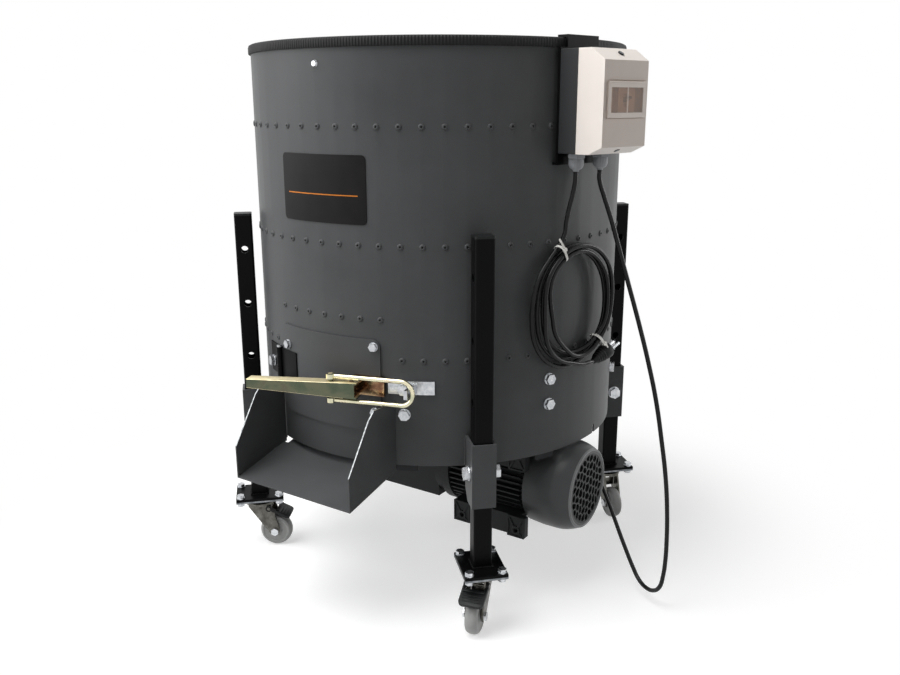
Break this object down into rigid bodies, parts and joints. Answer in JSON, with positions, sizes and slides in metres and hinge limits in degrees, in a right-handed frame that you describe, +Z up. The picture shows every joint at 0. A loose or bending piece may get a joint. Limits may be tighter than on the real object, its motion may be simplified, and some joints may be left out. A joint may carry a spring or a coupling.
{
  "type": "walnut huller",
  "caption": "Drum-type walnut huller on adjustable caster legs, with a spinning rotor disc, riveted rasp lining, side door with latch, outlet chute, geared motor and switch box.",
  "frame": {"origin": "on the floor, under the drum's vertical axis", "axes": "+Z up along the drum's axis, -Y out through the chute, +X to the right seen from the chute"},
  "size_m": [0.6733, 0.6112, 0.7594],
  "materials": {
    "wall_paint": "satin grey powder coat",
    "black_paint": "satin black powder coat",
    "trim_rubber": "matt ribbed",
    "lining_steel": "punched rasp sheet",
    "rivet_steel": "dark blind rivets",
    "zinc": "bright zinc plate",
    "passivated": "yellow passivated zinc",
    "plate_film": "blank dark film",
    "cast": "painted casting",
    "fork_steel": "pressed zinc plated steel",
    "nylon": "light grey nylon",
    "black_plastic": "black moulding",
    "cowl_plastic": "dark grey moulding",
    "cover_plastic": "off-white moulding",
    "base_plastic": "anthracite moulding",
    "flap_plastic": "tinted clear moulding",
    "gland_plastic": "grey nylon",
    "tie_plastic": "white nylon",
    "cord_rubber": "black cord sheath",
    "bronze": "gear bronze",
    "shaft_steel": "turned steel",
    "frame_steel": "dark frame paint"
  },
  "bodies": {
    "machine": {"drum_shell": "wall_paint", "rim_trim": "trim_rubber", "rasp_lining": "lining_steel", "ring_rivets": "rivet_steel", "lower_rivets": "rivet_steel", "wall_bolts": "zinc", "name_plate": "plate_film", "hinge_wall_leaf": "black_paint", "hinge_pin": "zinc", "latch_catch": "zinc", "chute": "wall_paint", "leg_sleeves": "wall_paint", "leg_front_right": "black_paint", "leg_front_left": "black_paint", "leg_rear_right": "black_paint", "leg_rear_left": "black_paint", "foot_plates": "black_paint", "leg_caps": "black_plastic", "leg_bolts": "zinc", "caster_plates": "fork_steel", "hanger_straps": "frame_steel", "cross_frame": "frame_steel", "gearbox_housing": "cast", "motor_frame": "cast", "fan_cowl": "cowl_plastic", "terminal_box": "base_plastic", "box_bracket": "black_paint", "box_base": "base_plastic", "box_cover": "cover_plastic", "starter": "cover_plastic", "cord_glands": "gland_plastic", "cord_ties": "tie_plastic", "supply_lead": "cord_rubber", "supply_coil": "cord_rubber", "supply_plug": "cord_rubber", "motor_cord": "cord_rubber"},
    "door": {"door_panel": "wall_paint", "door_backing": "wall_paint", "door_bolts": "zinc", "hinge_door_leaf": "black_paint", "latch_base": "passivated"},
    "latch_lever": {"latch_lever": "passivated"},
    "latch_hook": {"latch_hook": "passivated"},
    "rotor": {"rotor_disc": "shaft_steel", "worm_wheel": "bronze"},
    "armature": {"motor_rotor": "shaft_steel", "worm_shaft": "shaft_steel"},
    "window_flap": {"window_flap": "flap_plastic"},
    "starter_toggle": {"starter_toggle": "black_plastic"},
    "fork_front_right": {"fork_front_right": "fork_steel"},
    "wheel_front_right": {"wheel_front_right": "nylon"},
    "pedal_front_right": {"pedal_front_right": "black_plastic"},
    "fork_front_left": {"fork_front_left": "fork_steel"},
    "wheel_front_left": {"wheel_front_left": "nylon"},
    "pedal_front_left": {"pedal_front_left": "black_plastic"},
    "fork_rear_right": {"fork_rear_right": "fork_steel"},
    "wheel_rear_right": {"wheel_rear_right": "nylon"},
    "fork_rear_left": {"fork_rear_left": "fork_steel"},
    "wheel_rear_left": {"wheel_rear_left": "nylon"}
  },
  "joints": [
    {"name": "door_hinge", "type": "hinge", "parent": "machine", "child": "door", "pos_m": [-0.09706, -0.25206, 0.33], "axis": [0, 0, -1], "range_deg": [0, 70]},
    {"name": "latch_lever_pivot", "type": "hinge", "parent": "door", "child": "latch_lever", "pos_m": [0.05861, -0.28468, 0.327], "axis": [0, 0, 1], "range_deg": [0, 90]},
    {"name": "latch_hook_pivot", "type": "hinge", "parent": "latch_lever", "child": "latch_hook", "pos_m": [0.0323, -0.29425, 0.327], "axis": [0, 0, 1], "range_deg": [-90, 0]},
    {"name": "rotor_spin", "type": "hinge", "parent": "machine", "child": "rotor", "pos_m": [0, 0, 0.152], "axis": [0, 0, 1], "continuous": true},
    {"name": "motor_spin", "type": "hinge", "parent": "machine", "child": "armature", "pos_m": [0.15, -0.04, 0.152], "axis": [1, 0, 0], "continuous": true},
    {"name": "caster_swivel_front_right", "type": "hinge", "parent": "machine", "child": "fork_front_right", "pos_m": [0.20435, -0.20435, 0.0705], "axis": [0, 0, 1], "continuous": true},
    {"name": "wheel_spin_front_right", "type": "hinge", "parent": "fork_front_right", "child": "wheel_front_right", "pos_m": [0.21057, -0.22754, 0.025], "axis": [0.9659, 0.2588, 0], "continuous": true},
    {"name": "brake_pedal_front_right", "type": "hinge", "parent": "fork_front_right", "child": "pedal_front_right", "pos_m": [0.20875, -0.22077, 0.0655], "axis": [0.9659, 0.2588, 0], "range_deg": [0, 10]},
    {"name": "caster_swivel_front_left", "type": "hinge", "parent": "machine", "child": "fork_front_left", "pos_m": [-0.20435, -0.20435, 0.0705], "axis": [0, 0, 1], "continuous": true},
    {"name": "wheel_spin_front_left", "type": "hinge", "parent": "fork_front_left", "child": "wheel_front_left", "pos_m": [-0.18357, -0.19235, 0.025], "axis": [-0.5, 0.866, 0], "continuous": true},
    {"name": "brake_pedal_front_left", "type": "hinge", "parent": "fork_front_left", "child": "pedal_front_left", "pos_m": [-0.18963, -0.19585, 0.0655], "axis": [-0.5, 0.866, 0], "range_deg": [0, 10]},
    {"name": "caster_swivel_rear_right", "type": "hinge", "parent": "machine", "child": "fork_rear_right", "pos_m": [0.20435, 0.20435, 0.0705], "axis": [0, 0, 1], "continuous": true},
    {"name": "wheel_spin_rear_right", "type": "hinge", "parent": "fork_rear_right", "child": "wheel_rear_right", "pos_m": [0.22274, 0.18893, 0.025], "axis": [0.6428, 0.766, 0], "continuous": true},
    {"name": "caster_swivel_rear_left", "type": "hinge", "parent": "machine", "child": "fork_rear_left", "pos_m": [-0.20435, 0.20435, 0.0705], "axis": [0, 0, 1], "continuous": true},
    {"name": "wheel_spin_rear_left", "type": "hinge", "parent": "fork_rear_left", "child": "wheel_rear_left", "pos_m": [-0.22754, 0.19814, 0.025], "axis": [0.2588, -0.9659, 0], "continuous": true},
    {"name": "window_flap_hinge", "type": "hinge", "parent": "machine", "child": "window_flap", "pos_m": [0.33053, -0.08548, 0.703], "axis": [-0.2504, -0.9681, 0], "range_deg": [0, 95]},
    {"name": "starter_toggle_pivot", "type": "hinge", "parent": "machine", "child": "starter_toggle", "pos_m": [0.31908, -0.07322, 0.6825], "axis": [0.2504, 0.9681, 0], "range_deg": [0, 40]}
  ],
  "couplings": [
    {"joint": "latch_hook_pivot", "follows": "latch_lever_pivot", "ratio": -1},
    {"joint": "motor_spin", "follows": "rotor_spin", "ratio": 10}
  ]
}
